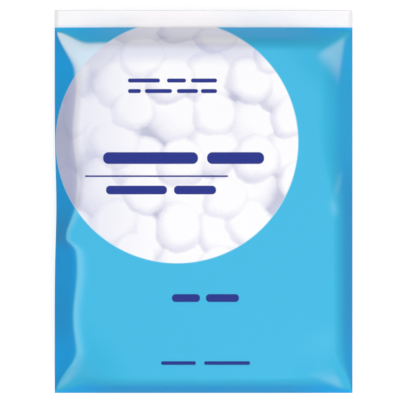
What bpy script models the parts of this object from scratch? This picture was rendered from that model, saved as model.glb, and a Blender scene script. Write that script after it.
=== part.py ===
"""A printed film pack of cotton balls, lying on its back.

The pack is a flat tube of film, welded down both sides and folded at the foot, and swollen by the
balls that it holds. Its head ends in two clear lips, with a press-to-close zipper between them.
Metres, +Z up. X runs across the pack, Y from its foot to its head, and Z from the surface that it
lies on up to its printed front. The origin is on that surface, under the middle of the pack.
"""

from math import cos, exp, hypot, pi, sin

import bmesh
import bpy

# Overall sizes of the pack
PACK_WIDTH = 0.165
PRINTED_HEIGHT = 0.203
FRONT_RISE = 0.021
BACK_DROP = 0.017

# The film and its welds
FILM = 0.00015
WELD_THICKNESS = 0.0004
WELD_WIDTH = 0.002

# How far in from each edge the front reaches its height, and how softly it rounds over there
LEFT_FLANK, LEFT_SOFTNESS = 0.0130, 0.30
RIGHT_FLANK, RIGHT_SOFTNESS = 0.0080, 0.55
FOOT_FLANK, FOOT_SOFTNESS = 0.0075, 0.50
HEAD_FLANK, HEAD_SOFTNESS = 0.0110, 0.40
BACK_FLANK, BACK_SOFTNESS = 0.0180, 0.80
CROWN = 0.0022

# The corners, where the film runs out from the swollen body to the end of each weld
CORNER_REACH, CORNER_SOFTNESS = 0.030, 0.5
SIDE_REACH, SIDE_KEPT_SHARE = 0.026, 0.08
END_REACH, END_KEPT_SHARE = 0.020, 0.30

# The left flank is pinched and ripples, and its weld is drawn in; the right flank swells towards the head
PINCH_DEPTH, PINCH_AT = 0.0050, -0.0200
PINCH_ABOVE, PINCH_BELOW = 0.0112, 0.0054
RIPPLE_DEPTH, RIPPLE_LENGTH = 0.0010, 0.0500
WAIST_DEPTH, WAIST_LENGTH, WAIST_AT = 0.0009, 0.0280, -0.0024
SWELL, SWELL_FROM, SWELL_TO = 0.0052, -0.0050, 0.0350

# The zipper: two webs, a rib with an arrow head on one, and two jaws that hook over it on the other
WEB_HEIGHT, WEB_THICKNESS = 0.0060, 0.00020
RIB_WIDTH, HEAD_WIDTH, TIP_WIDTH = 0.0005, 0.0011, 0.0006
HEAD_THICKNESS, HEAD_BARB = 0.00040, 0.00010
JAW_THICKNESS, HOOK_THICKNESS = 0.00040, 0.00025
SNAP_CLEARANCE = 0.00014
HOOK_CLEARANCE = 0.00027
POCKET_CLEARANCE = 0.00010
LIPS_ABOVE_ZIPPER = 0.0029

# The print: a white disc on blue, filled with round shapes
DISC_X, DISC_Y, DISC_RADIUS = -0.0145, 0.0322, 0.0652
PRINTED_BALL = 0.0240
FILM_BLUE = (0.074, 0.509, 0.783)
DISC_WHITE = (0.945, 0.945, 0.985)
DISC_SHADE = (0.600, 0.610, 0.760)
CLEAR_WHITE = (0.900, 0.905, 0.915)
ZIPPER_WHITE = (0.870, 0.880, 0.900)

# How finely the film is divided
COLUMNS, ROWS, LIP_ROWS = 44, 50, 2
CROWDING = 0.62

# Places that follow from the sizes above
HALF_WIDTH = PACK_WIDTH / 2
LIP_HEIGHT = POCKET_CLEARANCE + WEB_HEIGHT + LIPS_ABOVE_ZIPPER
HEAD = (PRINTED_HEIGHT + LIP_HEIGHT) / 2
FOOT = -HEAD
ZIPPER_LINE = HEAD - LIP_HEIGHT
WELD_PLANE = BACK_DROP + WELD_THICKNESS / 2
GROOVE_ROOF = WEB_THICKNESS + HEAD_THICKNESS + 2 * SNAP_CLEARANCE
JAW_TOP = GROOVE_ROOF + HOOK_THICKNESS
ZIPPER_THICKNESS = JAW_TOP + HOOK_CLEARANCE + WEB_THICKNESS
POCKET_THICKNESS = ZIPPER_THICKNESS + 2 * POCKET_CLEARANCE
POCKET_REACH = HALF_WIDTH - WELD_WIDTH
LIP_RISE = POCKET_THICKNESS / 2 + FILM - WELD_THICKNESS / 2


def clear_scene():
    for old in list(bpy.data.objects):
        bpy.data.objects.remove(old)


def new_collection(name):
    made = bpy.data.collections.new(name)
    bpy.context.scene.collection.children.link(made)
    return made


def soft_min(a, b, softness):
    """The smaller of a and b, rounded over where they are within softness of each other."""
    share = min(1.0, max(0.0, 0.5 + 0.5 * (b - a) / softness))
    return b + (a - b) * share - softness * share * (1 - share)


def smooth_step(value):
    held = min(1.0, max(0.0, value))
    return held * held * (3 - 2 * held)


def bump(distance, length):
    """A smooth bump, 1 where the distance is nothing and near 0 past two lengths."""
    return exp(-((distance / length) ** 2))


def left_weld(y):
    """Where the left weld stands at this height. The right one is straight."""
    return WAIST_DEPTH * bump(y - WAIST_AT, WAIST_LENGTH) - HALF_WIDTH


def left_flank(y):
    """The width of the left flank: it ripples, and a pinch narrows it slowly from above and fast below."""
    length = PINCH_ABOVE if y > PINCH_AT else PINCH_BELOW
    ripple = RIPPLE_DEPTH * sin(2 * pi * y / RIPPLE_LENGTH)
    return LEFT_FLANK + ripple - PINCH_DEPTH * bump(y - PINCH_AT, length)


def right_flank(y):
    """The width of the right flank, which swells over the upper part of the pack."""
    return RIGHT_FLANK + SWELL * smooth_step((y - SWELL_FROM) / (SWELL_TO - SWELL_FROM))


def narrowed(flank, from_corner, reach, kept):
    """A flank gets narrower towards the corner that it runs into, down to the share that it keeps."""
    return flank * (kept + (1 - kept) * smooth_step(from_corner / reach))


def corner_height(from_side, from_end):
    """The share of the height that is left near a corner, where the film runs down to the weld."""
    return soft_min(hypot(from_side, from_end) / CORNER_REACH, 1.0, CORNER_SOFTNESS)


def front_share(left, right, foot, head, y):
    """How much of its full height the front has, from its distances to the four edges."""
    side, end = min(left, right), min(foot, head)
    share = 1.0
    flanks = (
        (left, narrowed(left_flank(y), end, SIDE_REACH, SIDE_KEPT_SHARE), LEFT_SOFTNESS),
        (right, narrowed(right_flank(y), end, SIDE_REACH, SIDE_KEPT_SHARE), RIGHT_SOFTNESS),
        (foot, narrowed(FOOT_FLANK, side, END_REACH, END_KEPT_SHARE), FOOT_SOFTNESS),
        (head, narrowed(HEAD_FLANK, side, END_REACH, END_KEPT_SHARE), HEAD_SOFTNESS),
    )
    for distance, width, softness in flanks:
        share *= soft_min(distance / width, 1.0, softness)
    return share * corner_height(side, end)


def back_share(left, right, foot, head):
    """How much of its full depth the back has. It is flat where the pack lies on it."""
    share = 1.0
    for distance in (left, right, foot, head):
        share *= soft_min(distance / BACK_FLANK, 1.0, BACK_SOFTNESS)
    return share


def crown(x, y):
    """The slight dome of the front, as a share of its height at the middle."""
    return cos(pi / 2 * x / HALF_WIDTH) * cos(pi / 2 * y / HEAD)


def lip_height(side):
    """The lips lie flat over the zipper, and are pinched together at the welds."""
    return LIP_RISE * min(1.0, max(0.0, side / WELD_WIDTH))


def film_height(x, y, front):
    """How far the film stands from the weld plane, above it for the front and below it for the back."""
    left, right = x - left_weld(y), HALF_WIDTH - x
    foot, head = y - FOOT, ZIPPER_LINE - y
    body = 0.0
    if head > 0:
        if front:
            full = FRONT_RISE - CROWN * (1 - crown(x, y))
            body = full * front_share(left, right, foot, head, y)
        else:
            body = BACK_DROP * back_share(left, right, foot, head)
    return WELD_THICKNESS / 2 + max(body, lip_height(min(left, right, foot)))


def crowded(count, low, high):
    """Evenly numbered places from low to high, closer together near both ends."""
    middle, half = (low + high) / 2, (high - low) / 2
    steps = [2 * i / count - 1 for i in range(count + 1)]
    return [middle + half * ((1 - CROWDING) * s + CROWDING * sin(pi / 2 * s)) for s in steps]


def add_film(mesh, front):
    """One side of the pack, as a grid of film in the weld plane that is then raised or sunk."""
    rows = crowded(ROWS, FOOT, ZIPPER_LINE)
    rows += [ZIPPER_LINE + LIP_HEIGHT * i / LIP_ROWS for i in range(1, LIP_ROWS + 1)]
    columns = crowded(COLUMNS, 0.0, 1.0)
    made = bmesh.ops.create_grid(mesh, x_segments=COLUMNS, y_segments=len(rows) - 1, size=1.0)
    for point in made["verts"]:
        across = columns[round((point.co.x + 1) / 2 * COLUMNS)]
        y = rows[round((point.co.y + 1) / 2 * (len(rows) - 1))]
        x = left_weld(y) + across * (HALF_WIDTH - left_weld(y))
        height = film_height(x, y, front)
        point.co = (x, y, WELD_PLANE + (height if front else -height))
    return made["verts"]


def printed_film():
    """Blue film with the white disc printed on it. The disc's edge and its balls are worked out from X and Y."""
    material = bpy.data.materials.new("printed_film")
    material.use_nodes = True
    nodes, links = material.node_tree.nodes, material.node_tree.links
    place = nodes.new("ShaderNodeTexCoord")
    flat = nodes.new("ShaderNodeVectorMath")
    flat.operation = "MULTIPLY"
    flat.inputs[1].default_value = (1, 1, 0)
    reach = nodes.new("ShaderNodeVectorMath")
    reach.operation = "DISTANCE"
    reach.inputs[1].default_value = (DISC_X, DISC_Y, 0)
    inside = nodes.new("ShaderNodeMath")
    inside.operation = "LESS_THAN"
    inside.inputs[1].default_value = DISC_RADIUS
    balls = nodes.new("ShaderNodeTexVoronoi")
    balls.voronoi_dimensions = "2D"
    balls.inputs["Scale"].default_value = 1 / PRINTED_BALL
    balls.inputs["Randomness"].default_value = 0.6
    shades = nodes.new("ShaderNodeValToRGB")
    shades.color_ramp.elements[0].position = 0.30
    shades.color_ramp.elements[0].color = (*DISC_WHITE, 1)
    shades.color_ramp.elements[1].position = 0.75
    shades.color_ramp.elements[1].color = (*DISC_SHADE, 1)
    print_mix = nodes.new("ShaderNodeMix")
    print_mix.data_type = "RGBA"
    print_mix.inputs["A"].default_value = (*FILM_BLUE, 1)
    split = nodes.new("ShaderNodeSeparateXYZ")
    above = nodes.new("ShaderNodeMath")
    above.operation = "GREATER_THAN"
    above.inputs[1].default_value = ZIPPER_LINE
    lip_mix = nodes.new("ShaderNodeMix")
    lip_mix.data_type = "RGBA"
    lip_mix.inputs["B"].default_value = (*CLEAR_WHITE, 1)
    shader = nodes["Principled BSDF"]
    shader.inputs["Roughness"].default_value = 0.28
    links.new(place.outputs["Object"], flat.inputs[0])
    links.new(flat.outputs["Vector"], reach.inputs[0])
    links.new(reach.outputs["Value"], inside.inputs[0])
    links.new(place.outputs["Object"], balls.inputs["Vector"])
    links.new(balls.outputs["Distance"], shades.inputs["Fac"])
    links.new(inside.outputs["Value"], print_mix.inputs["Factor"])
    links.new(shades.outputs["Color"], print_mix.inputs["B"])
    links.new(place.outputs["Object"], split.inputs["Vector"])
    links.new(split.outputs["Y"], above.inputs[0])
    links.new(above.outputs["Value"], lip_mix.inputs["Factor"])
    links.new(print_mix.outputs["Result"], lip_mix.inputs["A"])
    links.new(lip_mix.outputs["Result"], shader.inputs["Base Color"])
    return material


def clear_plastic():
    material = bpy.data.materials.new("zipper_plastic")
    material.use_nodes = True
    shader = material.node_tree.nodes["Principled BSDF"]
    shader.inputs["Base Color"].default_value = (*ZIPPER_WHITE, 1)
    shader.inputs["Roughness"].default_value = 0.40
    return material


def zipper_pocket(cutters):
    """The space between the lips, open at the head, where the zipper's two strips sit."""
    width = 2 * POCKET_REACH
    length = 2 * LIP_HEIGHT
    bpy.ops.mesh.primitive_cube_add(size=1, location=(0, ZIPPER_LINE + length / 2, WELD_PLANE))
    cutter = bpy.context.active_object
    cutter.name = "zipper_pocket"
    cutter.scale = (width, length, POCKET_THICKNESS)
    bpy.ops.object.transform_apply(location=False, rotation=False, scale=True)
    for holder in list(cutter.users_collection):
        holder.objects.unlink(cutter)
    cutters.objects.link(cutter)
    cutter.hide_render = True
    cutter.display_type = "WIRE"
    return cutter


def filled_pouch(parts, cutters):
    """The pouch and what it holds, as one solid: front and back films joined round their edges."""
    mesh = bmesh.new()
    add_film(mesh, front=True)
    add_film(mesh, front=False)
    rims = [edge for edge in mesh.edges if edge.is_boundary]
    bmesh.ops.bridge_loops(mesh, edges=rims)
    bmesh.ops.recalc_face_normals(mesh, faces=mesh.faces)
    data = bpy.data.meshes.new("filled_pouch")
    mesh.to_mesh(data)
    mesh.free()
    data.materials.append(printed_film())
    data.shade_smooth()
    data.set_sharp_from_angle(angle=pi / 4)
    pouch = bpy.data.objects.new("filled_pouch", data)
    parts.objects.link(pouch)
    cut = pouch.modifiers.new("zipper_pocket", "BOOLEAN")
    cut.operation = "DIFFERENCE"
    cut.object = zipper_pocket(cutters)
    return pouch


def rib_outline():
    """Half of the rib strip's section, from its web's end round to the tip: (along Y, up from its web's foot)."""
    neck = ZIPPER_THICKNESS - GROOVE_ROOF + SNAP_CLEARANCE
    top = neck + HEAD_THICKNESS
    return [
        (WEB_HEIGHT / 2, 0.0),
        (WEB_HEIGHT / 2, WEB_THICKNESS),
        (RIB_WIDTH / 2, WEB_THICKNESS),
        (RIB_WIDTH / 2, neck),
        (HEAD_WIDTH / 2, neck),
        (HEAD_WIDTH / 2, neck + HEAD_BARB),
        (TIP_WIDTH / 2, top),
    ]


def jaw_outline():
    """Half of the jaw strip's section, from its web's end round to the roof of its groove."""
    groove = HEAD_WIDTH / 2 + SNAP_CLEARANCE
    outside = groove + JAW_THICKNESS
    throat = RIB_WIDTH / 2 + SNAP_CLEARANCE
    return [
        (WEB_HEIGHT / 2, 0.0),
        (WEB_HEIGHT / 2, WEB_THICKNESS),
        (outside, WEB_THICKNESS),
        (outside, JAW_TOP),
        (throat, JAW_TOP),
        (throat, GROOVE_ROOF),
        (groove, GROOVE_ROOF),
        (groove, WEB_THICKNESS),
    ]


def zipper_strip(parts, name, half_outline, faces_up, material):
    """An extruded strip of the zipper, laid along X between the lips."""
    outline = half_outline + [(-along, up) for along, up in reversed(half_outline)]
    curve = bpy.data.curves.new(name, "CURVE")
    curve.dimensions = "2D"
    curve.fill_mode = "BOTH"
    curve.extrude = POCKET_REACH - POCKET_CLEARANCE
    spline = curve.splines.new("POLY")
    spline.points.add(len(outline) - 1)
    for point, (along, up) in zip(spline.points, outline):
        point.co = (along, up, 0, 1)
    spline.use_cyclic_u = True
    curve.materials.append(material)
    strip = bpy.data.objects.new(name, curve)
    foot = -ZIPPER_THICKNESS / 2 if faces_up else ZIPPER_THICKNESS / 2
    middle = ZIPPER_LINE + POCKET_CLEARANCE + WEB_HEIGHT / 2
    strip.location = (0, middle, WELD_PLANE + foot)
    strip.rotation_euler = (pi / 2, 0, pi / 2) if faces_up else (-pi / 2, 0, pi / 2)
    parts.objects.link(strip)
    return strip


def build():
    clear_scene()
    parts = new_collection("cotton_ball_pack")
    cutters = new_collection("cutters")
    plastic = clear_plastic()
    filled_pouch(parts, cutters)
    zipper_strip(parts, "zipper_rib_strip", rib_outline(), True, plastic)
    zipper_strip(parts, "zipper_jaw_strip", jaw_outline(), False, plastic)


build()
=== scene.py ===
"""A printed film pack of cotton balls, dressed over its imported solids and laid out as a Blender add-on.

The pouch lies on its back. Its printed front, its plain back, the clear lips at its head and the
beads along its side welds are surfaces worked out with numpy. The zipper's two strips are the
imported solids, with a better material. Lengths are in metres, with +Z up, +Y towards the zipper and
+X to the right on the printed front.
"""

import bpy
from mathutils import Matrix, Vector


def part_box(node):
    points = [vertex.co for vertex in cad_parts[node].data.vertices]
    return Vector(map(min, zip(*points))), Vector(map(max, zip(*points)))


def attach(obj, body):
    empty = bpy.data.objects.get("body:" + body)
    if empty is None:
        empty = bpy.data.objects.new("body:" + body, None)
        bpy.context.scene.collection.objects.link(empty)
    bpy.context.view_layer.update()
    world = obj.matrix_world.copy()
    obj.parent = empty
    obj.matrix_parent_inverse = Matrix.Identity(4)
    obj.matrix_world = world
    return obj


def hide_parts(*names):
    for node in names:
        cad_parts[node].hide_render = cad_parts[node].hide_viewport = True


bl_info = {
    "name": "Cotton Ball Pack",
    "version": (1, 0, 0),
    "blender": (4, 5, 0),
    "location": "3D View > Sidebar > Cotton Ball Pack",
    "description": "Makes a filled, printed film pouch with a press-to-close zipper, and its studio",
    "category": "Object",
}

import bpy
import numpy as np
from bpy.props import FloatProperty, FloatVectorProperty, PointerProperty

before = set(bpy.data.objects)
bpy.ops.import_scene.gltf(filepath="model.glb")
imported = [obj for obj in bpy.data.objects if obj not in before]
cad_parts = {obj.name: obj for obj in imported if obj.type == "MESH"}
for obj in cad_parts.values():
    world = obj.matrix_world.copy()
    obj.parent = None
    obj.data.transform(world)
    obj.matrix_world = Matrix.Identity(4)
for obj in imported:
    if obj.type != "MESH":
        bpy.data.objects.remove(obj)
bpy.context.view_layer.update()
pouch_low, pouch_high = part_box("filled_pouch")
zipper_low, zipper_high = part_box("zipper_rib_strip")
jaw_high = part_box("zipper_jaw_strip")[1]

# The zipper line is where the print ends and the clear lips begin, just below the strips
ZIPPER_MARGIN = 0.0001
HEAD = pouch_high.y
FOOT = pouch_low.y
ZIPPER_LINE = zipper_low.y - ZIPPER_MARGIN

# How finely the surfaces are divided: the film across and along, the lips, and the weld beads. The
# film's and the lips' lines are crowded towards their ends by these shares.
FILM_COLUMNS, FILM_ROWS = 204, 226
LIP_COLUMNS, LIP_ROWS = 120, 16
BEAD_STEPS, BEAD_SIDES = 420, 10
FILM_CROWDING, LIP_CROWDING = 0.62, 0.8

# How softly the front rounds over at the left, the right, the foot and the head, then at the
# corners, and how softly the back does
FLANK_SOFTNESS = (0.30, 0.55, 0.50, 0.40)
CORNER_SOFTNESS, BACK_SOFTNESS = 0.5, 0.8

# The share of its width that a side flank and an end flank keep at a corner
SIDE_KEPT, END_KEPT = 0.08, 0.30

# Where the left weld is drawn in, and how far along it
WAIST_AT, WAIST_REACH = -0.0024, 0.0280

# Where the left flank is pinched, how far towards the head and the foot, and how long its ripple is
PINCH_AT, PINCH_ABOVE, PINCH_BELOW = -0.0200, 0.0112, 0.0040
RIPPLE_LENGTH = 0.0500

# Between which places along the pack the right flank widens
SWELL_FROM, SWELL_TO = -0.0050, 0.0350

# Hollows in the film between the balls: their pitch across and along, how far their lines bend,
# and the length over which each bend turns by one radian
HOLLOW_PITCH = (0.0240, 0.0270)
HOLLOW_BEND, HOLLOW_TURN = 0.004, (0.031, 0.027)

# Pleats along the side welds: the turning length, strength and start of each wave, how deep they
# are between waves and how much a wave changes that, where they begin, and how soon they die away
PLEAT_WAVES = ((0.00131, 1.0, 0.0), (0.00083, 0.7, 1.0), (0.00222, 0.8, 2.3))
PLEAT_MEAN, PLEAT_SWING = 0.5, 0.2
PLEAT_START, PLEAT_REACH = 0.0015, 0.0045

# How far the lips stop short of the welds, and half the gap that is left between them
LIP_INSET, LIP_CLEARANCE = 0.0001, 0.00006

# The wave at a lip's mouth: its height, its turning length, and the shift of its start, which is
# forwards on the front lip and backwards on the back lip
LIP_WAVE, LIP_TURN, LIP_START = 0.00035, 0.0105, 0.8

# The ribs in the lips over the zipper, and how far the outer ones are set in from its edges
RIB_HEIGHT, RIB_REACH, RIB_INSET = 0.00012, 0.0004, 0.0003

# How much the beads along the welds go thinner and thicker, and the turning lengths of that
BEAD_MEAN, BEAD_SWING, BEAD_TURNS = 0.88, 0.12, (0.00041, 0.00173)

# How far off the artwork the back of the pouch is mapped
OFF_THE_PRINT = 1.0

# Creases in the front of the film: (x, y) of each end, depth and width
CREASES = (
    ((0.0770, 0.0300), (0.0705, 0.0030), 0.00080, 0.0016),
    ((0.0800, 0.0470), (0.0745, 0.0260), 0.00045, 0.0013),
    ((-0.0800, -0.0160), (-0.0735, -0.0215), 0.00025, 0.0010),
    ((-0.0805, -0.0270), (-0.0740, -0.0225), 0.00020, 0.0010),
    ((-0.0770, -0.0960), (-0.0660, -0.0840), 0.00035, 0.0011),
    ((0.0770, -0.0975), (0.0640, -0.0930), 0.00035, 0.0011),
    ((0.0760, 0.0900), (0.0640, 0.0800), 0.00040, 0.0012),
    ((-0.0770, 0.0880), (-0.0680, 0.0770), 0.00030, 0.0011),
)

# Layers of the printed heap, the furthest first: the layer's offset in steps of its balls, the
# radius of a ball as a share of the distance between neighbours, and how much darker the layer is
BALL_LAYERS = (
    ((11.5, 4.0, 0.0), 0.90, -0.21),
    ((4.0, 9.5, 0.0), 0.66, -0.13),
    ((7.5, 3.5, 0.0), 0.58, -0.08),
    ((2.0, 6.0, 0.0), 0.53, 0.00),
)
LAYER_STEP = 1.65

# Where the printed balls are lit from, how soft their edges are, how far they stray from a regular
# pattern, and how far their outlines waver
BALL_LIGHT = (0.16, 0.24, 0.96)
BALL_EDGE, BALL_STRAY, BALL_WAVER = 0.72, 0.32, 0.0110

# The tones at which the colour is that of a gap, of a ball's shade and of its lit side
TONES = (0.0, 0.32, 0.66)

# The veil over the balls runs from nothing to its full share towards the left. The shade under the zipper
# comes in over the first two places and goes again over the last two, at its full share.
HAZE_FROM, HAZE_TO, HAZE_SHARE = -0.020, -0.070, 0.60
SHADE_PLACES, SHADE_SHARE = (0.0730, 0.0810, 0.0850, 0.0900), 0.75

# The deeper blue is painted shade: how much of it lies by the right weld, by the foot, by the zipper and on
# the back, and how much less it is by the right weld towards the head, with the run over which that comes in
FLANK_SHADE_RIGHT, FLANK_SHADE_FOOT, FLANK_SHADE_HEAD, BACK_SHADE = 0.80, 0.90, 0.50, 0.35
FLANK_SHADE_LESS, FLANK_SHADE_RUN = 0.30, 0.0300

# The distance over which an edge's weight falls to about a third, and the share of its height that the front
# has to fall by for all of its painted shade. At the left, where the painted shade starts to go and over what
# it goes, in widths of the flank past the ridge.
FLANK_SHADE_NEAR, FLANK_SHADE_FALL = 0.004, 0.5
LEFT_SHADE_START, LEFT_SHADE_EASE = -0.12, 0.10

# The painted highlight in a pale star at the left of the head: how far it reaches and over what length it
# fades. It is on the front above this share of its height, and comes in over the second share.
STAR_REACH, STAR_FADE = 0.042, 0.014
STAR_HEIGHT, STAR_EASE = 0.80, 0.15

# The painted sheen along the left ridge, in widths of the flank: its middle, and its reach on both sides
SHEEN_AT, SHEEN_INWARD, SHEEN_OUTWARD = 0.03, 0.21, 0.07

# Painted highlights along folds: (x, y) of each end, strength and width
HIGHLIGHT_LINES = (
    ((0.0758, 0.0175), (0.0705, 0.0009), 0.10, 0.0018),
    ((0.0694, 0.0025), (0.0721, -0.0090), 0.11, 0.0024),
)

# Triangles of painted highlight at a corner: (x, y) of each point, anticlockwise from the corner, and
# strength. The side away from the corner is softer than the other two.
HIGHLIGHT_TRIANGLES = (
    (((0.0775, 0.0902), (0.0632, 0.0807), (0.0743, 0.0679)), 0.31),
    (((-0.0812, -0.1036), (-0.0712, -0.0967), (-0.0688, -0.0871)), 0.20),
    (((0.0767, -0.1031), (0.0727, -0.0945), (0.0612, -0.0961)), 0.16),
)
HIGHLIGHT_SOFTNESS = (0.0035, 0.0100, 0.0030)

# The print's edges: half the softness of the disc's, how strong its rim is, a bar's roundness as a
# share of its height, and how far below the zipper line the ink begins to end and has ended
DISC_EDGE, RIM_STRENGTH, BAR_ROUNDNESS = 0.00015, 0.8, 0.46
INK_ENDS_FROM, INK_ENDS_AT = 0.0007, 0.0003

# Plain bars on the front: (left, right, middle, height) in metres
NAVY_BARS = (
    (-0.0410, -0.0237, 0.0656, 0.0022),
    (-0.0199, -0.0096, 0.0656, 0.0022),
    (-0.0069, 0.0072, 0.0656, 0.0022),
    (-0.0410, -0.0340, 0.0599, 0.0022),
    (-0.0318, -0.0172, 0.0599, 0.0022),
    (-0.0145, -0.0031, 0.0599, 0.0022),
    (-0.0015, 0.0072, 0.0599, 0.0022),
    (-0.0545, -0.0031, 0.0236, 0.0064),
    (0.0018, 0.0327, 0.0236, 0.0064),
    (-0.0643, 0.0132, 0.0138, 0.0009),
    (-0.0529, -0.0199, 0.0063, 0.0047),
    (-0.0161, 0.0067, 0.0063, 0.0047),
    (-0.0172, -0.0020, -0.0522, 0.0043),
    (0.0012, 0.0191, -0.0522, 0.0043),
    (-0.0231, -0.0042, -0.0874, 0.0020),
    (0.0002, 0.0251, -0.0874, 0.0020),
)


# Soft lights: name, place, size, the setting that gives the power, and the light's share of it
LIGHTS = (
    ("key_light", (0.06, 0.10, 1.60), 1.40, "key", 1.0),
    ("fill_light", (0.35, -0.85, 1.25), 0.60, "fill", 1.0),
    ("head_light", (-0.10, 0.95, 1.10), 0.60, "head", 1.0),
    ("rim_light", (-0.62, 0.02, 0.95), 0.10, "rim", 1.0),
    ("side_light", (1.00, -0.50, 0.55), 0.50, "edge", 1.0),
    ("foot_light", (0.00, -1.00, 0.40), 0.40, "edge", 1.0),
    ("corner_head_left", (-0.50, 0.50, 0.42), 0.16, "corner", 1.0),
    ("corner_head_right", (0.50, 0.50, 0.42), 0.16, "corner", 0.8),
    ("corner_foot_left", (-0.50, -0.50, 0.42), 0.16, "corner", 0.5),
    ("corner_foot_right", (0.50, -0.50, 0.42), 0.16, "corner", 0.7),
)

# The floor: how far it reaches, its tiles each way, its second tone, how much darker its colour is
# in reflections, how brightly it glows to the camera, and the share of that in reflections
FLOOR_REACH, FLOOR_TILES = 3.0, 12
FLOOR_GRAIN, FLOOR_DIMMED = 1.02, (0.40, 0.40, 0.40, 1)
FLOOR_GLOW, FLOOR_REFLECTED = 0.72, 0.1


def length(name, default, description):
    return FloatProperty(name=name, description=description, default=default, unit="LENGTH", precision=5)


def amount(name, default, description):
    return FloatProperty(name=name, description=description, default=default)


def colour(name, default, description):
    return FloatVectorProperty(
        name=name, description=description, default=default, subtype="COLOR", size=3, min=0.0, max=1.0
    )


class PouchShape(bpy.types.PropertyGroup):
    """The form of the filled pouch, as the solids have it, and the fine relief of its film."""

    half_width: length("Half width", pouch_high.x, "From the middle of the pack to its side weld")
    weld_plane: length("Weld plane", (zipper_low.z + jaw_high.z) / 2, "Height of the side welds")
    weld_thickness: length("Weld thickness", 0.0004, "Thickness of the two films where they are welded")
    front_rise: length("Front rise", 0.0210, "Height of the front above the welds")
    back_drop: length("Back drop", 0.0170, "Depth of the back below the welds")
    crown: length("Crown", 0.0022, "How much lower the front is at its edges than in its middle")
    left_flank: length("Left flank", 0.0130, "Width of the left flank")
    right_flank: length("Right flank", 0.0080, "Width of the right flank")
    foot_flank: length("Foot flank", 0.0075, "Width of the flank at the foot")
    head_flank: length("Head flank", 0.0110, "Width of the flank at the zipper")
    back_flank: length("Back flank", 0.0180, "Width of the rounding round the back")
    corner_reach: length("Corner reach", 0.0300, "How far the film runs down towards a corner")
    side_reach: length("Side reach", 0.0260, "How far from a corner the side flanks narrow")
    end_reach: length("End reach", 0.0200, "How far from a corner the end flanks narrow")
    ripple: length("Ripple", 0.0010, "How much the left flank's width goes up and down")
    pinch: length("Pinch", 0.0050, "How much the pinch narrows the left flank")
    waist: length("Waist", 0.0009, "How far the left weld is drawn in")
    swell: length("Swell", 0.0052, "How much wider the right flank is towards the head")
    ball_relief: length("Ball relief", 0.00012, "Height of the bumps that the balls push into the film")
    pucker: length("Pucker", 0.00030, "Height of the pleats along the side welds")
    lip_rise: length("Lip rise", 0.00085, "How far each lip stands off the welds over the zipper")
    lip_film: length("Lip film", 0.00015, "Thickness of each clear lip")
    lip_pinch: length("Lip pinch", 0.0020, "How far from the welds the lips come together")
    bead: length("Bead", 0.00026, "Radius of the bead along each side weld")


class FilmPrint(bpy.types.PropertyGroup):
    """The printed artwork and the colours of the plastics."""

    blue: colour("Blue", (0.050, 0.484, 0.764), "Ink of the field")
    # Deep blue is painted shade, laid where the film turns away from the light
    flank_shade_blue: colour("Deep blue", (0.014, 0.415, 0.910), "Ink of the field where it is doubled")
    navy: colour("Navy", (0.012, 0.025, 0.250), "Ink of the bars")
    rim: colour("Rim", (0.560, 0.840, 0.950), "Thin line round the disc")
    cotton: colour("Cotton", (0.955, 0.950, 0.970), "Lit side of a printed ball")
    cotton_shade: colour("Cotton shade", (0.790, 0.780, 0.870), "Shaded side of a printed ball")
    cotton_crease: colour("Cotton crease", (0.520, 0.525, 0.670), "Gap between printed balls")
    cotton_haze: colour("Cotton haze", (0.730, 0.740, 0.865), "Haze at the left, and shade at the head")
    # Doubled cotton is painted shade that dims the balls over the flanks
    cotton_flank_shade: colour("Doubled cotton", (0.760, 0.770, 0.950), "How doubled film dims the balls")
    # The painted highlight along the left ridge takes this colour
    ridge_highlight: colour("Stretch", (0.200, 0.695, 1.000), "Lightly stretched film, along the left ridge")
    # The painted highlights at the corners and folds take this colour
    haze: colour("Haze", (0.700, 0.860, 0.990), "Film where it is stretched pale, at a corner or a fold")
    clear: colour("Clear film", (1.000, 0.972, 0.985), "The clear lips")
    clear_cloud: colour("Clear film's cloud", (0.980, 0.952, 0.965), "Cloudy parts of the clear lips")
    zipper: colour("Zipper", (0.990, 0.980, 0.990), "The zipper's strips")
    zipper_line: colour("Zipper's lines", (0.960, 0.950, 0.970), "Draw lines along the zipper's strips")
    disc_x: length("Disc across", -0.01446, "Middle of the white disc, across the pack")
    disc_y: length("Disc along", 0.0323, "Middle of the white disc, along the pack")
    disc_radius: length("Disc radius", 0.0655, "Radius of the white disc")
    rim_width: length("Rim width", 0.0006, "Width of the line round the disc")
    ball: length("Ball", 0.0240, "Distance between neighbouring printed balls")


class PackStudio(bpy.types.PropertyGroup):
    """The camera, which looks straight down on the pack, and plain soft light."""

    camera_x: length("Camera across", -0.0020, "Place of the camera across the pack")
    camera_y: length("Camera along", 0.0009, "Place of the camera along the pack")
    camera_rise: length("Camera rise", 0.9237, "Height of the camera above the welds")
    lens: amount("Lens", 150.0, "Focal length in millimetres")
    key: amount("Key", 11.4, "Power of the soft light overhead")
    corner: amount("Corner", 0.75, "Power of each small light at a corner")
    head: amount("Head", 1.2, "Power of the soft light past the head")
    rim: amount("Rim", 0.50, "Power of the light that draws a line along the left ridge")
    edge: amount("Edge", 0.9, "Power of each low light, past the right side and past the foot")
    fill: amount("Fill", 6.2, "Power of the soft light past the foot")
    sky: amount("Sky", 0.15, "Strength of the even light from all round")
    floor: colour("Floor", (0.420, 0.420, 0.425), "Tone of the floor")


def soft_min(a, b, softness):
    """The smaller of a and b, rounded over where they are within softness of each other."""
    share = np.clip(0.5 + 0.5 * (b - a) / softness, 0.0, 1.0)
    return b + (a - b) * share - softness * share * (1.0 - share)


def smooth_step(value):
    """An even ease from 0 to 1: three squares less two cubes."""
    held = np.clip(value, 0.0, 1.0)
    return held * held * (3.0 - 2.0 * held)


def bump(distance, reach):
    """A bell that is 1 where the distance is nothing and near 0 past two reaches."""
    return np.exp(-((distance / reach) ** 2))


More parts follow.
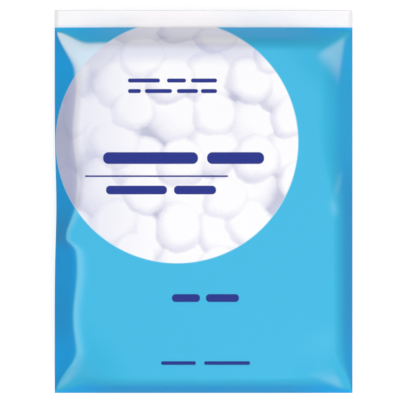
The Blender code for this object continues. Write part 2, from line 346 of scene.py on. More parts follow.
def crowded(count, low, high, crowding):
    """Places from low to high: a straight run mixed with a sine, which lie closer at both ends."""
    step = np.linspace(-1.0, 1.0, count + 1)
    share = (1 - crowding) * step + crowding * np.sin(np.pi / 2 * step)
    return (low + high) / 2 + (high - low) / 2 * share


def left_weld(shape, y):
    """The left weld stands at the half width, drawn in by a bell at its waist."""
    return shape.waist * bump(y - WAIST_AT, WAIST_REACH) - shape.half_width


def left_flank(shape, y):
    """The flank's width: a sine ripple, less a bell that is long above the pinch and short below it."""
    reach = np.where(y > PINCH_AT, PINCH_ABOVE, PINCH_BELOW)
    ripple = shape.ripple * np.sin(2 * np.pi * y / RIPPLE_LENGTH)
    return shape.left_flank + ripple - shape.pinch * bump(y - PINCH_AT, reach)


def right_flank(shape, y):
    """The flank's width eases to a wider one towards the head."""
    return shape.right_flank + shape.swell * smooth_step((y - SWELL_FROM) / (SWELL_TO - SWELL_FROM))


def narrowed(flank, from_corner, reach, kept):
    """A flank narrows by an even ease towards the corner it runs into, down to the share it keeps."""
    return flank * (kept + (1.0 - kept) * smooth_step(from_corner / reach))


def edge_distances(shape, x, y):
    """How far each place is from the left and right welds, the foot and the zipper line."""
    left = np.maximum(x - left_weld(shape, y), 0.0)
    right = np.maximum(shape.half_width - x, 0.0)
    return left, right, np.maximum(y - FOOT, 0.0), np.maximum(ZIPPER_LINE - y, 0.0)


def flank_widths(shape, x, y):
    """How wide each flank is beside each place: left, right, foot and head."""
    left, right, foot, head = edge_distances(shape, x, y)
    side, end = np.minimum(left, right), np.minimum(foot, head)
    return (
        narrowed(left_flank(shape, y), end, shape.side_reach, SIDE_KEPT),
        narrowed(right_flank(shape, y), end, shape.side_reach, SIDE_KEPT),
        narrowed(shape.foot_flank, side, shape.end_reach, END_KEPT),
        narrowed(shape.head_flank, side, shape.end_reach, END_KEPT),
    )


def front_shares(shape, x, y):
    """The share of its height that the front has at each place, from the flanks and from the corners.

    The flanks are the product of four soft ramps. The corners are one soft ramp of the distance
    to the nearest corner.
    """
    left, right, foot, head = edge_distances(shape, x, y)
    side, end = np.minimum(left, right), np.minimum(foot, head)
    flanks = np.ones_like(x)
    widths = flank_widths(shape, x, y)
    for distance, width, softness in zip((left, right, foot, head), widths, FLANK_SOFTNESS):
        flanks *= soft_min(distance / width, 1.0, softness)
    corners = soft_min(np.hypot(side, end) / shape.corner_reach, 1.0, CORNER_SOFTNESS)
    return flanks, corners


def lip_height(shape, side):
    """The lips lie level over the zipper and run straight down to the welds at their ends."""
    return shape.lip_rise * np.clip(side / shape.lip_pinch, 0.0, 1.0)


def least_height(shape, x, y):
    """The least height of each face: that of the lips, run straight down to the welds and the foot."""
    left, right, foot, _ = edge_distances(shape, x, y)
    return lip_height(shape, np.minimum(np.minimum(left, right), foot))


def along_lines(lines, x, y):
    """The sum of straight marks: each a bell across its line, that grows and dies as a sine along it."""
    total = np.zeros_like(x)
    for (x0, y0), (x1, y1), most, width in lines:
        run = np.array((x1 - x0, y1 - y0))
        along = ((x - x0) * run[0] + (y - y0) * run[1]) / (run @ run)
        across = np.hypot(x - x0 - along * run[0], y - y0 - along * run[1])
        held = np.clip(along, 0.0, 1.0)
        total += most * np.sin(np.pi * held) * bump(across, width)
    return total


def inside_triangle(points, softness, x, y):
    """From 1 inside a triangle to 0 outside it: the product of an even ease over each of its sides."""
    share = np.ones_like(x)
    for (x0, y0), (x1, y1), soft in zip(points, points[1:] + points[:1], softness):
        inward = ((x1 - x0) * (y - y0) - (y1 - y0) * (x - x0)) / np.hypot(x1 - x0, y1 - y0)
        share *= smooth_step(0.5 + inward / soft)
    return share


def film_relief(shape, x, y, flanks):
    """What lowers the film from its plain form: hollows between balls, pleats at the welds, and creases.

    The hollows are a product of two cosines on slightly bent lines. The pleats are a sum of three
    sines along the weld that dies away from it.
    """
    bent_x = x + HOLLOW_BEND * np.sin(y / HOLLOW_TURN[0])
    bent_y = y + HOLLOW_BEND * np.sin(x / HOLLOW_TURN[1])
    across, along = HOLLOW_PITCH
    hollows = 0.5 - 0.5 * np.cos(2 * np.pi * bent_x / across) * np.cos(2 * np.pi * bent_y / along)
    side = np.minimum(*edge_distances(shape, x, y)[:2])
    waves = sum(strength * np.sin(y / turn + start) for turn, strength, start in PLEAT_WAVES)
    dying = np.exp(-side / PLEAT_REACH) * np.clip(side / PLEAT_START, 0.0, 1.0)
    pleats = (PLEAT_MEAN + PLEAT_SWING * waves) * dying
    return flanks * (shape.ball_relief * hollows + along_lines(CREASES, x, y) + shape.pucker * pleats)


def front_height(shape, x, y):
    """How far the front stands above the weld plane: a slight dome, times its shares, less its relief."""
    flanks, corners = front_shares(shape, x, y)
    dome = np.cos(np.pi / 2 * x / shape.half_width) * np.cos(np.pi / 2 * y / HEAD)
    body = (shape.front_rise - shape.crown * (1.0 - dome)) * flanks * corners
    body -= film_relief(shape, x, y, flanks * corners)
    return shape.weld_thickness / 2 + np.maximum(body, least_height(shape, x, y))


def back_height(shape, x, y):
    """How far the back stands below the weld plane: four soft ramps, so that it is level in its middle."""
    body = np.full_like(x, shape.back_drop)
    for distance in edge_distances(shape, x, y):
        body *= soft_min(distance / shape.back_flank, 1.0, BACK_SOFTNESS)
    return shape.weld_thickness / 2 + np.maximum(body, least_height(shape, x, y))


def grid_quads(columns, rows, start):
    """The quads of a grid of points that are numbered row by row from start, facing up."""
    corner = start + np.arange(rows)[:, None] * (columns + 1) + np.arange(columns)
    quads = np.stack((corner, corner + 1, corner + columns + 2, corner + columns + 1), axis=-1)
    return quads.reshape(-1, 4)


def rim_numbers(columns, rows):
    """The numbers of a grid's outer points, once round and anticlockwise from its first."""
    width = columns + 1
    foot = np.arange(columns)
    right = columns + width * np.arange(rows)
    head = rows * width + columns - np.arange(columns)
    left = width * (rows - np.arange(rows))
    return np.concatenate((foot, right, head, left))


def closed_shell(upper, lower):
    """The points and faces of a closed skin: an upper and a lower grid, joined round their rims."""
    rows, columns = upper.shape[0] - 1, upper.shape[1] - 1
    count = upper.shape[0] * upper.shape[1]
    points = np.concatenate((upper.reshape(-1, 3), lower.reshape(-1, 3)))
    rim = rim_numbers(columns, rows)
    following = np.roll(rim, -1)
    wall = np.stack((rim + count, following + count, following, rim), axis=-1)
    under = grid_quads(columns, rows, count)[:, ::-1]
    return points, np.concatenate((grid_quads(columns, rows, 0), under, wall)).tolist()


def swept_tube(path, radius, sides):
    """The points and faces of a closed tube along Y: rings of that radius, and a fan at each end."""
    turn = 2 * np.pi * np.arange(sides) / sides
    across = path[:, None, 0] + radius[:, None] * np.cos(turn)
    up = path[:, None, 2] + radius[:, None] * np.sin(turn)
    along = np.broadcast_to(path[:, None, 1], across.shape)
    rings = np.stack((across, along, up), axis=-1).reshape(-1, 3)
    side = np.arange(sides)
    beyond = (side + 1) % sides
    ring = np.arange(len(path) - 1)[:, None] * sides
    here, there = ring + side, ring + beyond
    quads = np.stack((here, here + sides, there + sides, there), axis=-1).reshape(-1, 4)
    last_ring = len(rings) - sides
    near = np.stack((side, beyond, np.full(sides, len(rings))), axis=-1)
    far = np.stack((last_ring + beyond, last_ring + side, np.full(sides, len(rings) + 1)), axis=-1)
    points = np.concatenate((rings, path[[0, -1]]))
    return points, quads.tolist() + near.tolist() + far.tolist()


def laid_print(shape, points):
    """Where each point lies on the artwork: its place, drawn in towards the middle for its height.

    The artwork is laid out level at the height of the front, as it is seen from straight above.
    """
    studio = bpy.context.scene.pack_studio
    camera_height = shape.weld_plane + studio.camera_rise
    drawn = (camera_height - pouch_high.z) / (camera_height - points[:, 2])
    across = studio.camera_x + (points[:, 0] - studio.camera_x) * drawn
    along = studio.camera_y + (points[:, 1] - studio.camera_y) * drawn
    return np.stack((across, along), axis=-1)


def new_piece(name, points, faces):
    """A smooth piece at the origin, in the scene."""
    mesh = bpy.data.meshes.new(name)
    mesh.from_pydata(points.tolist(), [], faces)
    mesh.shade_smooth()
    mesh.validate()
    piece = bpy.data.objects.new(name, mesh)
    bpy.context.scene.collection.objects.link(piece)
    return piece


def film_run(film, axis):
    """How far along the film each point of its grid lies: its steps, added up from the middle line."""
    steps = np.linalg.norm(np.diff(film, axis=axis), axis=-1)
    run = np.insert(np.cumsum(steps, axis=axis), 0, 0.0, axis=axis)
    middle = film.shape[axis] // 2
    return run + (film[..., 1 - axis] - run).take([middle], axis=axis)


def add_map(piece, name, places):
    """A named UV map, from the place that it gives each point of the piece."""
    layer = piece.data.uv_layers.new(name=name)
    corners = np.empty(len(piece.data.loops), dtype=np.int32)
    piece.data.loops.foreach_get("vertex_index", corners)
    layer.uv.foreach_set("vector", places[corners].astype(np.float32).ravel())


def add_amounts(piece, name, amounts):
    """A named amount on every point, which the piece's material reads."""
    layer = piece.data.attributes.new(name, "FLOAT", "POINT")
    layer.data.foreach_set("value", amounts.astype(np.float32).ravel())


class Wiring:
    """A node tree, with short calls that add a node and join it. An input may be a number or a socket."""

    def __init__(self, tree):
        self.tree = tree

    def feed(self, socket, value):
        if isinstance(value, bpy.types.NodeSocket):
            self.tree.links.new(value, socket)
        else:
            socket.default_value = value

    def node(self, kind, settings=None, **values):
        made = self.tree.nodes.new(kind)
        for name, value in (settings or {}).items():
            setattr(made, name, value)
        for name, value in values.items():
            self.feed(made.inputs[name.replace("_", " ")], value)
        return made

    def math(self, operation, *values):
        made = self.tree.nodes.new("ShaderNodeMath")
        made.operation = operation
        for socket, value in zip(made.inputs, values):
            self.feed(socket, value)
        return made.outputs[0]

    def vector(self, operation, *values, output="Vector"):
        made = self.tree.nodes.new("ShaderNodeVectorMath")
        made.operation = operation
        for socket, value in zip(made.inputs, values):
            self.feed(socket, value)
        return made.outputs[output]

    def scaled(self, vector, factor):
        made = self.node("ShaderNodeVectorMath", {"operation": "SCALE"}, Scale=factor)
        self.feed(made.inputs[0], vector)
        return made.outputs["Vector"]

    def carried(self, name):
        """A named amount that the piece carries on its points."""
        return self.node("ShaderNodeAttribute", {"attribute_name": name}).outputs["Fac"]

    def mapped(self, name):
        """A place in one of the piece's own UV maps."""
        return self.node("ShaderNodeUVMap", {"uv_map": name}).outputs["UV"]

    def noise(self, place, scale, detail, roughness=0.5):
        """A noise between 0 and 1."""
        made = self.node("ShaderNodeTexNoise", Vector=place, Scale=scale, Detail=detail, Roughness=roughness)
        return made.outputs[0]

    def varied(self, noise, base, swing):
        """A number that rises from its base by a noise's share of the swing."""
        return self.math("MULTIPLY_ADD", noise, swing, base)

    def mix(self, factor, first, second, blend="MIX"):
        made = self.tree.nodes.new("ShaderNodeMix")
        made.data_type = "RGBA"
        made.blend_type = blend
        for name, value in (("Factor", factor), ("A", first), ("B", second)):
            self.feed(made.inputs[name], value)
        return made.outputs["Result"]

    def ease(self, value, low, high):
        """0 below low and 1 above high, with an even ease between them."""
        made = self.node("ShaderNodeMapRange", {"interpolation_type": "SMOOTHSTEP"})
        for name, given in (("Value", value), ("From Min", low), ("From Max", high)):
            self.feed(made.inputs[name], given)
        return made.outputs["Result"]

    def lift(self, shader, height, strength, distance):
        """Gives a shader's surface a fine relief, in its normal alone."""
        made = self.node("ShaderNodeBump", Height=height, Strength=strength, Distance=distance)
        self.feed(shader.inputs["Normal"], made.outputs["Normal"])


def new_material(name):
    """A new material, with its wiring, its shader, and the places on its object."""
    material = bpy.data.materials.new(name)
    material.use_nodes = True
    wiring = Wiring(material.node_tree)
    shader = material.node_tree.nodes["Principled BSDF"]
    return material, wiring, shader, wiring.node("ShaderNodeTexCoord").outputs["Object"]


def new_group(name, inputs, outputs):
    """An empty node group with its sockets, and the wiring, inputs and outputs inside it."""
    group = bpy.data.node_groups.new(name, "ShaderNodeTree")
    for label, kind, default in inputs:
        socket = group.interface.new_socket(label, in_out="INPUT", socket_type=kind)
        socket.default_value = default
    for label, kind in outputs:
        group.interface.new_socket(label, in_out="OUTPUT", socket_type=kind)
    wiring = Wiring(group)
    given = group.nodes.new("NodeGroupInput").outputs
    result = group.nodes.new("NodeGroupOutput").inputs
    return group, wiring, given, result


def place_group(wiring, group, **values):
    """Puts a group in a node tree, with its own values."""
    made = wiring.tree.nodes.new("ShaderNodeGroup")
    made.node_tree = group
    for name, value in values.items():
        wiring.feed(made.inputs[name.replace("_", " ")], value)
    return made.outputs


def bar_group():
    """A bar with round corners: 1 inside it, from the distance to a smaller box less the corner's radius."""
    inputs = (
        ("Place", "NodeSocketVector", (0, 0, 0)),
        ("Middle", "NodeSocketVector", (0, 0, 0)),
        ("Half Size", "NodeSocketVector", (0.01, 0.002, 1)),
        ("Corner", "NodeSocketFloat", 0.001),
        ("Softness", "NodeSocketFloat", 0.0003),
    )
    group, wiring, given, result = new_group("print_bar", inputs, (("Cover", "NodeSocketFloat"),))
    offset = wiring.vector("ABSOLUTE", wiring.vector("SUBTRACT", given["Place"], given["Middle"]))
    corner = wiring.node("ShaderNodeCombineXYZ", X=given["Corner"], Y=given["Corner"]).outputs[0]
    outside = wiring.vector("SUBTRACT", offset, wiring.vector("SUBTRACT", given["Half Size"], corner))
    beyond = wiring.vector("LENGTH", wiring.vector("MAXIMUM", outside, (0, 0, 0)), output="Value")
    past = wiring.math("SUBTRACT", beyond, given["Corner"])
    cover = wiring.math("SUBTRACT", 0.5, wiring.math("DIVIDE", past, given["Softness"]))
    wiring.feed(result["Cover"], wiring.node("ShaderNodeClamp", Value=cover).outputs[0])
    return group


def ball_layer_group():
    """One layer of printed balls. Each cell of a Voronoi pattern holds a ball round its point.

    The offset from the point, over the ball's radius, is the flat part of the ball's normal. The
    layer gives how much light that normal catches, and whether the ball covers the place.
    """
    inputs = (
        ("Place", "NodeSocketVector", (0, 0, 0)),
        ("Spacing", "NodeSocketFloat", 0.0240),
        ("Radius", "NodeSocketFloat", 0.0120),
        ("Stray", "NodeSocketFloat", BALL_STRAY),
    )
    outputs = (("Light", "NodeSocketFloat"), ("Cover", "NodeSocketFloat"))
    group, wiring, given, result = new_group("ball_layer", inputs, outputs)
    cells = wiring.node("ShaderNodeTexVoronoi", {"voronoi_dimensions": "2D"})
    wiring.feed(cells.inputs["Vector"], given["Place"])
    wiring.feed(cells.inputs["Scale"], wiring.math("DIVIDE", 1.0, given["Spacing"]))
    wiring.feed(cells.inputs["Randomness"], given["Stray"])
    offset = wiring.vector("SUBTRACT", given["Place"], cells.outputs["Position"])
    level = wiring.vector("MULTIPLY", offset, (1, 1, 0))
    flat = wiring.scaled(level, wiring.math("DIVIDE", 1.0, given["Radius"]))
    reach = wiring.vector("DOT_PRODUCT", flat, flat, output="Value")
    rise = wiring.math("SQRT", wiring.math("MAXIMUM", wiring.math("SUBTRACT", 1.0, reach), 0.0))
    lifted = wiring.vector("ADD", flat, wiring.node("ShaderNodeCombineXYZ", Z=rise).outputs[0])
    light = wiring.vector("DOT_PRODUCT", lifted, BALL_LIGHT, output="Value")
    wiring.feed(result["Light"], light)
    wiring.feed(result["Cover"], wiring.ease(rise, 0.0, BALL_EDGE))
    return group


def cotton_group(art):
    """The printed heap: layers of balls, the front ones set wide apart, with a fibrous, uneven tone.

    A veil lies over it towards the left, and it is shaded under the zipper.
    """
    inputs = (("Place", "NodeSocketVector", (0, 0, 0)), ("Spacing", "NodeSocketFloat", 0.0240))
    group, wiring, given, result = new_group("printed_cotton", inputs, (("Color", "NodeSocketColor"),))
    layer = ball_layer_group()
    waver = wiring.node("ShaderNodeTexNoise", Vector=given["Place"], Scale=45.0, Detail=5.0, Roughness=0.52)
    swing = wiring.vector("SUBTRACT", waver.outputs["Color"], (0.5, 0.5, 0.5))
    bent = wiring.vector("MULTIPLY_ADD", swing, (BALL_WAVER, BALL_WAVER, 0), given["Place"])
    tone = 0.0
    step = wiring.math("MULTIPLY", given["Spacing"], LAYER_STEP)
    for offset, share, dimming in BALL_LAYERS:
        place = wiring.vector("ADD", bent, wiring.scaled(offset, step))
        radius = wiring.math("MULTIPLY", given["Spacing"], share)
        balls = place_group(wiring, layer, Place=place, Spacing=step, Radius=radius, Stray=BALL_STRAY)
        light = wiring.math("ADD", balls["Light"], dimming)
        over = wiring.node("ShaderNodeMix", {"data_type": "FLOAT"}, Factor=balls["Cover"], A=tone, B=light)
        tone = over.outputs["Result"]
    fibres = wiring.noise(given["Place"], scale=700.0, detail=4.0, roughness=0.7)
    cloud = wiring.noise(given["Place"], scale=34.0, detail=1.0)
    tone = wiring.math("ADD", tone, wiring.varied(cloud, base=-0.26, swing=0.50))
    tone = wiring.math("ADD", tone, wiring.varied(fibres, base=-0.11, swing=0.22))
    ramp = wiring.node("ShaderNodeValToRGB", Fac=tone)
    stops = ramp.color_ramp.elements
    stops[0].position, stops[0].color = TONES[0], (*art.cotton_crease, 1)
    stops[1].position, stops[1].color = TONES[2], (*art.cotton, 1)
    middle = stops.new(TONES[1])
    middle.color = (*art.cotton_shade, 1)
    where = wiring.node("ShaderNodeSeparateXYZ", Vector=given["Place"]).outputs
    hazed = wiring.math("MULTIPLY", wiring.ease(where["X"], HAZE_FROM, HAZE_TO), HAZE_SHARE)
    begins, full, fades, ends = SHADE_PLACES
    rising = wiring.math("MULTIPLY", wiring.ease(where["Y"], begins, full), SHADE_SHARE)
    shaded = wiring.math("MULTIPLY", rising, wiring.ease(where["Y"], ends, fades))
    dimmed = wiring.mix(shaded, ramp.outputs["Color"], (*art.cotton_haze, 1), "MULTIPLY")
    wiring.feed(result["Color"], wiring.mix(hazed, dimmed, (*art.cotton_haze, 1)))
    return group


def crinkle_group():
    """The fine crinkle of thin film: two noises, one of them stretched along the pack, as a height."""
    inputs = (("Place", "NodeSocketVector", (0, 0, 0)), ("Size", "NodeSocketFloat", 0.004))
    group, wiring, given, result = new_group("film_crinkle", inputs, (("Height", "NodeSocketFloat"),))
    scale = wiring.math("DIVIDE", 1.0, given["Size"])
    broad = wiring.noise(given["Place"], scale, detail=2.0)
    drawn = wiring.vector("MULTIPLY", given["Place"], (1.0, 0.25, 1.0))
    fine = wiring.noise(drawn, wiring.math("MULTIPLY", scale, 4.0), detail=2.0)
    wiring.feed(result["Height"], wiring.varied(fine, base=broad, swing=0.12))
    return group


def artwork(wiring, art, place, film_place, deep):
    """The printed colours: a blue field, a disc of cotton balls with a pale rim, and navy bars.

    It gives the colour, and 1 inside the disc. The balls are laid along the film, so that they keep
    their form where it runs down a flank.
    """
    middle = (art.disc_x, art.disc_y, 0.0)
    reach = wiring.vector("DISTANCE", place, middle, output="Value")
    inside = wiring.ease(reach, art.disc_radius + DISC_EDGE, art.disc_radius - DISC_EDGE)
    rimmed = wiring.ease(reach, art.disc_radius + art.rim_width, art.disc_radius)
    # Deep mixes in painted shade: the deeper blue, and the balls dimmed on the flanks
    field = wiring.mix(deep, (*art.blue, 1), (*art.flank_shade_blue, 1))
    cotton = place_group(wiring, cotton_group(art), Place=film_place, Spacing=art.ball)["Color"]
    flank_shaded = wiring.mix(1.0, cotton, (*art.cotton_flank_shade, 1), "MULTIPLY")
    shaded = wiring.mix(deep, cotton, flank_shaded)
    around = wiring.mix(wiring.math("MULTIPLY", rimmed, RIM_STRENGTH), field, (*art.rim, 1))
    colour_so_far = wiring.mix(inside, around, shaded)
    bar = bar_group()
    cover = None
    for left, right, along, height in NAVY_BARS:
        half = ((right - left) / 2, height / 2, 1.0)
        centre = ((left + right) / 2, along, 0.0)
        corner = height * BAR_ROUNDNESS
        drawn = place_group(wiring, bar, Place=place, Middle=centre, Half_Size=half, Corner=corner)["Cover"]
        cover = drawn if cover is None else wiring.math("MAXIMUM", cover, drawn)
    return wiring.mix(cover, colour_so_far, (*art.navy, 1)), inside


def printed_film(art, crinkle):
    """Glossy printed film: a deeper blue painted as shade where it turns away from the light, a painted
    highlight along the left ridge, painted highlights at its corners and folds, and clear where the ink ends.
    """
    material, wiring, shader, solid_place = new_material("printed_film")
    place, film_place = wiring.mapped("print"), wiring.mapped("film")
    inked, inside = artwork(wiring, art, place, film_place, wiring.carried("deep"))
    off_disc = wiring.math("SUBTRACT", 1.0, inside)
    # Painted highlights, off the disc: along the left ridge, then at the corners and folds
    for name, tone in (("sheen", art.ridge_highlight), ("haze", art.haze)):
        share = wiring.math("MULTIPLY", wiring.carried(name), off_disc)
        inked = wiring.mix(share, inked, wiring.mix(1.0, inked, (*tone, 1), "LIGHTEN"))
    along = wiring.node("ShaderNodeSeparateXYZ", Vector=solid_place).outputs["Y"]
    bare = wiring.ease(along, ZIPPER_LINE - INK_ENDS_FROM, ZIPPER_LINE - INK_ENDS_AT)
    wiring.feed(shader.inputs["Base Color"], wiring.mix(bare, inked, (*art.clear, 1)))
    smear = wiring.noise(solid_place, scale=45.0, detail=3.0)
    wiring.feed(shader.inputs["Roughness"], wiring.varied(smear, base=0.30, swing=0.10))
    relief = place_group(wiring, crinkle, Place=solid_place, Size=0.006)["Height"]
    wiring.lift(shader, relief, strength=0.20, distance=0.0002)
    shader.inputs["Specular IOR Level"].default_value = 0.16
    return material


def clear_film(art, crinkle):
    """Clear, faintly cloudy film, seen through to what lies behind it."""
    material, wiring, shader, solid_place = new_material("clear_film")
    cloud = wiring.noise(solid_place, scale=60.0, detail=2.0)
    shade = wiring.mix(cloud, (*art.clear, 1), (*art.clear_cloud, 1))
    wiring.feed(shader.inputs["Base Color"], shade)
    wiring.feed(shader.inputs["Alpha"], wiring.varied(cloud, base=0.92, swing=0.08))
    relief = place_group(wiring, crinkle, Place=solid_place, Size=0.010)["Height"]
    wiring.lift(shader, relief, strength=0.30, distance=0.0002)
    shader.inputs["Roughness"].default_value = 0.22
    return material


def zipper_plastic(art):
    """Milky extruded plastic, with draw lines along the strip."""
    material, wiring, shader, solid_place = new_material("zipper_plastic")
    drawn = wiring.vector("MULTIPLY", solid_place, (0.02, 1.0, 1.0))
    lines = wiring.noise(drawn, scale=2600.0, detail=2.0)
    tone = wiring.mix(lines, (*art.zipper, 1), (*art.zipper_line, 1))
    wiring.feed(shader.inputs["Base Color"], tone)
    wiring.feed(shader.inputs["Roughness"], wiring.varied(lines, base=0.30, swing=0.20))
    wiring.lift(shader, lines, strength=0.20, distance=0.00005)
    return material


class PACK_OT_film_bag(bpy.types.Operator):
    """The filled pouch from its foot to its zipper line, as one closed skin"""

    bl_idname = "cotton_pack.film_bag"
    bl_label = "Film Bag"

    def execute(self, context):
        shape, art = context.scene.pouch_shape, context.scene.film_print
        columns = crowded(FILM_COLUMNS, 0.0, 1.0, FILM_CROWDING)
        across, y = np.meshgrid(columns, crowded(FILM_ROWS, FOOT, ZIPPER_LINE, FILM_CROWDING))
        left = left_weld(shape, y)
        x = left + across * (shape.half_width - left)
        front = np.stack((x, y, shape.weld_plane + front_height(shape, x, y)), axis=-1)
        back = np.stack((x, y, shape.weld_plane - back_height(shape, x, y)), axis=-1)
        points, faces = closed_shell(front, back)
        bag = new_piece("film_bag", points, faces)
        places = laid_print(shape, points)
        places[points[:, 2] < shape.weld_plane] += OFF_THE_PRINT
        add_map(bag, "print", places)
        run = np.stack((film_run(front, 1), film_run(front, 0)), axis=-1).reshape(-1, 2)
        add_map(bag, "film", np.concatenate((run, run)))
        flanks, corners = front_shares(shape, x, y)
        # The painted shade and the painted highlights that the film's material reads
        for name, on_front, on_back in (
            ("deep", self.painted_flank_shade(shape, x, y, flanks), BACK_SHADE),
            ("haze", self.painted_highlights(shape, x, y, flanks), 0.0),
            ("sheen", self.sheen(shape, x, y, corners), 0.0),
        ):
            add_amounts(bag, name, np.concatenate((on_front, np.full_like(x, on_back))))
        bag.data.materials.append(printed_film(art, crinkle_group()))
        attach(bag, "root")
        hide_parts("filled_pouch")
        return {"FINISHED"}

    def painted_flank_shade(self, shape, x, y, flanks):
        """How much of the deeper blue is painted as shade: all over the left flank, and part of it on the
        others.

        Each flank has a share, and they are averaged by how near its edge is, as a dying exponential.
        """
        nearness = np.exp(-np.stack(edge_distances(shape, x, y)) / FLANK_SHADE_NEAR)
        fallen = smooth_step((1.0 - flanks) / FLANK_SHADE_FALL)
        past = self.past_ridge(shape, x, y)
        on_left = 1.0 - smooth_step((past - LEFT_SHADE_START) / LEFT_SHADE_EASE)
        on_right = FLANK_SHADE_RIGHT - FLANK_SHADE_LESS * smooth_step(y / FLANK_SHADE_RUN)
        shares = np.stack((on_left, on_right * fallen, FLANK_SHADE_FOOT * fallen, FLANK_SHADE_HEAD * fallen))
        return (nearness * shares).sum(axis=0) / nearness.sum(axis=0)

    def painted_highlights(self, shape, x, y, flanks):
        """How strong the painted highlights are: in a star at the left of the head, at corners, and at folds.
        """
        left, _, _, head = edge_distances(shape, x, y)
        star = smooth_step((STAR_REACH - np.hypot(left, head)) / STAR_FADE)
        star *= smooth_step((flanks - STAR_HEIGHT) / STAR_EASE)
        pale = np.maximum(along_lines(HIGHLIGHT_LINES, x, y), star)
        for points, strength in HIGHLIGHT_TRIANGLES:
            pale = np.maximum(pale, strength * inside_triangle(points, HIGHLIGHT_SOFTNESS, x, y))
        return pale

    def sheen(self, shape, x, y, corners):
        """How strong the painted highlight along the left ridge is: a bell that is narrower on the flank's
        side.
        """
        past = self.past_ridge(shape, x, y) - SHEEN_AT
        return bump(past, np.where(past > 0, SHEEN_INWARD, SHEEN_OUTWARD)) * corners

    def past_ridge(self, shape, x, y):
        """How far past the left ridge a place lies, in widths of the flank."""
        return edge_distances(shape, x, y)[0] / flank_widths(shape, x, y)[0] - 1.0


class PACK_OT_header_lips(bpy.types.Operator):
    """The two clear lips at the head, with the zipper between them"""

    bl_idname = "cotton_pack.header_lips"
    bl_label = "Header Lips"

    def execute(self, context):
        shape, art = context.scene.pouch_shape, context.scene.film_print
        material = clear_film(art, bpy.data.node_groups["film_crinkle"])
        for name, side in (("front_lip", 1.0), ("back_lip", -1.0)):
            outer, inner = self.lip(shape, side)
            upper, lower = (outer, inner) if side > 0 else (inner, outer)
            lip = new_piece(name, *closed_shell(upper, lower))
            lip.data.materials.append(material)
            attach(lip, "root")
            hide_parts("filled_pouch")
        return {"FINISHED"}

    def lip(self, shape, side):
        """A lip's outer and inner faces: level over the zipper, and run straight down to the welds.

        Past the zipper a sine wave along the lip grows by an even ease up to its mouth, and dies as a
        cosine towards the welds. Three bells along the lip are its ribs over the zipper.
        """
        width = shape.half_width - LIP_INSET
        columns = crowded(LIP_COLUMNS, -width, width, LIP_CROWDING)
        x, y = np.meshgrid(columns, np.linspace(ZIPPER_LINE, HEAD, LIP_ROWS + 1))
        over = lip_height(shape, width - np.abs(x))
        free = smooth_step((y - zipper_high.y) / (HEAD - zipper_high.y))
        wave = (1.0 + np.sin(x / LIP_TURN + LIP_START * side)) * np.cos(np.pi / 2 * x / width)
        low, high = zipper_low.y + RIB_INSET, zipper_high.y - RIB_INSET
        ribs = sum(bump(y - line, RIB_REACH) for line in (low, (low + high) / 2, high))
        ribs *= np.clip(over / shape.lip_rise, 0.0, 1.0)
        inner = over + LIP_WAVE * free * wave + RIB_HEIGHT * ribs + LIP_CLEARANCE
        heights = (inner + shape.lip_film, inner)
        return [np.stack((x, y, shape.weld_plane + side * height), axis=-1) for height in heights]


class PACK_OT_side_welds(bpy.types.Operator):
    """The bead down each side weld: a thin tube, whose radius follows a product of two sines"""

    bl_idname = "cotton_pack.side_welds"
    bl_label = "Side Welds"

    def execute(self, context):
        shape = context.scene.pouch_shape
        y = np.linspace(FOOT + shape.bead, HEAD - shape.bead, BEAD_STEPS)
        beaded = BEAD_MEAN + BEAD_SWING * np.sin(y / BEAD_TURNS[0]) * np.sin(y / BEAD_TURNS[1])
        ends = np.sqrt(np.clip(np.minimum(y - FOOT, HEAD - y) / (2 * shape.bead), 0.0, 1.0))
        left = left_weld(shape, y) + shape.bead
        right = np.full_like(y, shape.half_width - shape.bead)
        level = np.full_like(y, shape.weld_plane)
        for name, x in (("left_weld", left), ("right_weld", right)):
            path = np.stack((x, y, level), axis=-1)
            points, faces = swept_tube(path, shape.bead * beaded * ends, BEAD_SIDES)
            weld = new_piece(name, points, faces)
            levelled = np.stack((points[:, 0], points[:, 1], np.full(len(points), shape.weld_plane)), axis=-1)
            for layer in ("print", "film"):
                add_map(weld, layer, laid_print(shape, levelled))
            # The welds take the full painted shade of the deeper blue, and no painted highlights
            for layer, share in (("deep", 1.0), ("haze", 0.0), ("sheen", 0.0)):
                add_amounts(weld, layer, np.full(len(points), share))
            weld.data.materials.append(bpy.data.materials["printed_film"])
            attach(weld, "root")
            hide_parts("filled_pouch")
        return {"FINISHED"}


class PACK_OT_zipper_strips(bpy.types.Operator):
    """Milky plastic on the zipper's two strips, whose form is right in the solids"""

    bl_idname = "cotton_pack.zipper_strips"
    bl_label = "Zipper Strips"

    def execute(self, context):
        material = zipper_plastic(context.scene.film_print)
        for node in ("zipper_rib_strip", "zipper_jaw_strip"):
            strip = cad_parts[node]
            strip.data.materials.clear()
            strip.data.materials.append(material)
        return {"FINISHED"}


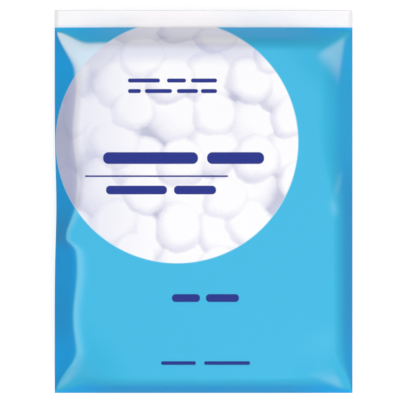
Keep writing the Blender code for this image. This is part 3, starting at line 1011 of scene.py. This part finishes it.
class PACK_OT_studio(bpy.types.Operator):
    """A plain pale floor, soft lights from overhead and from the sides, and the camera"""

    bl_idname = "cotton_pack.studio"
    bl_label = "Studio"

    def execute(self, context):
        shape, studio = context.scene.pouch_shape, context.scene.pack_studio
        self.floor(studio)
        for name, place, size, setting, share in LIGHTS:
            self.light(name, place, size, getattr(studio, setting) * share)
        world = bpy.data.worlds.new("studio_world")
        world.use_nodes = True
        world.node_tree.nodes["Background"].inputs["Strength"].default_value = studio.sky
        world.node_tree.nodes["Background"].inputs["Color"].default_value = (1, 1, 1, 1)
        context.scene.world = world
        camera = bpy.data.objects.new("camera", bpy.data.cameras.new("camera"))
        camera.data.lens = studio.lens
        camera.location = (studio.camera_x, studio.camera_y, shape.weld_plane + studio.camera_rise)
        context.scene.collection.objects.link(camera)
        context.scene.camera = camera
        context.scene.view_settings.view_transform = "Standard"
        return {"FINISHED"}

    def light(self, name, place, size, power):
        """A square soft light that faces the middle of the pack."""
        lamp = bpy.data.lights.new(name, "AREA")
        lamp.size = size
        lamp.energy = power
        made = bpy.data.objects.new(name, lamp)
        made.location = place
        aim = -made.location
        made.rotation_euler = aim.to_track_quat("-Z", "Y").to_euler()
        bpy.context.scene.collection.objects.link(made)

    def floor(self, studio):
        """A level floor that looks white to the camera, and that keeps the pack's shadow."""
        steps = np.linspace(-FLOOR_REACH, FLOOR_REACH, FLOOR_TILES + 1)
        x, y = np.meshgrid(steps, steps)
        points = np.stack((x, y, np.zeros_like(x)), axis=-1).reshape(-1, 3)
        floor = new_piece("floor", points, grid_quads(FLOOR_TILES, FLOOR_TILES, 0).tolist())
        material, wiring, shader, solid_place = new_material("floor")
        second = tuple(min(1.0, part * FLOOR_GRAIN) for part in studio.floor)
        grain = wiring.noise(solid_place, scale=30.0, detail=2.0)
        plain = wiring.mix(grain, (*studio.floor, 1), (*second, 1))
        path = wiring.node("ShaderNodeLightPath").outputs
        dimmed = wiring.mix(1.0, plain, FLOOR_DIMMED, "MULTIPLY")
        wiring.feed(shader.inputs["Base Color"], wiring.mix(path["Is Glossy Ray"], plain, dimmed))
        seen = wiring.math("MAXIMUM", path["Is Camera Ray"], path["Is Transmission Ray"])
        reflected = wiring.math("MULTIPLY", path["Is Glossy Ray"], FLOOR_REFLECTED)
        glow = wiring.math("MULTIPLY", wiring.math("MAXIMUM", seen, reflected), FLOOR_GLOW)
        wiring.feed(shader.inputs["Emission Strength"], glow)
        shader.inputs["Emission Color"].default_value = (1, 1, 1, 1)
        shader.inputs["Roughness"].default_value = 0.9
        shader.inputs["Specular IOR Level"].default_value = 0.0
        floor.data.materials.append(material)


class VIEW3D_PT_cotton_pack(bpy.types.Panel):
    """Lists the pack's pieces and the sizes and colours that they are made from"""

    bl_label = "Cotton Ball Pack"
    bl_space_type = "VIEW_3D"
    bl_region_type = "UI"
    bl_category = "Cotton Ball Pack"

    def draw(self, context):
        layout = self.layout
        for operator in OPERATORS:
            layout.operator(operator.bl_idname)
        for settings in (context.scene.pouch_shape, context.scene.film_print, context.scene.pack_studio):
            box = layout.box()
            for name in settings.__annotations__:
                box.prop(settings, name)


PROPERTY_GROUPS = {"pouch_shape": PouchShape, "film_print": FilmPrint, "pack_studio": PackStudio}
OPERATORS = (PACK_OT_film_bag, PACK_OT_header_lips, PACK_OT_side_welds, PACK_OT_zipper_strips, PACK_OT_studio)


def register():
    for name, settings in PROPERTY_GROUPS.items():
        bpy.utils.register_class(settings)
        setattr(bpy.types.Scene, name, PointerProperty(type=settings))
    for cls in (*OPERATORS, VIEW3D_PT_cotton_pack):
        bpy.utils.register_class(cls)


def unregister():
    for cls in reversed((*OPERATORS, VIEW3D_PT_cotton_pack)):
        bpy.utils.unregister_class(cls)
    for name, settings in PROPERTY_GROUPS.items():
        delattr(bpy.types.Scene, name)
        bpy.utils.unregister_class(settings)


def main():
    register()
    bpy.ops.cotton_pack.film_bag()
    bpy.ops.cotton_pack.header_lips()
    bpy.ops.cotton_pack.side_welds()
    bpy.ops.cotton_pack.zipper_strips()
    bpy.ops.cotton_pack.studio()


if __name__ == "__main__":
    main()
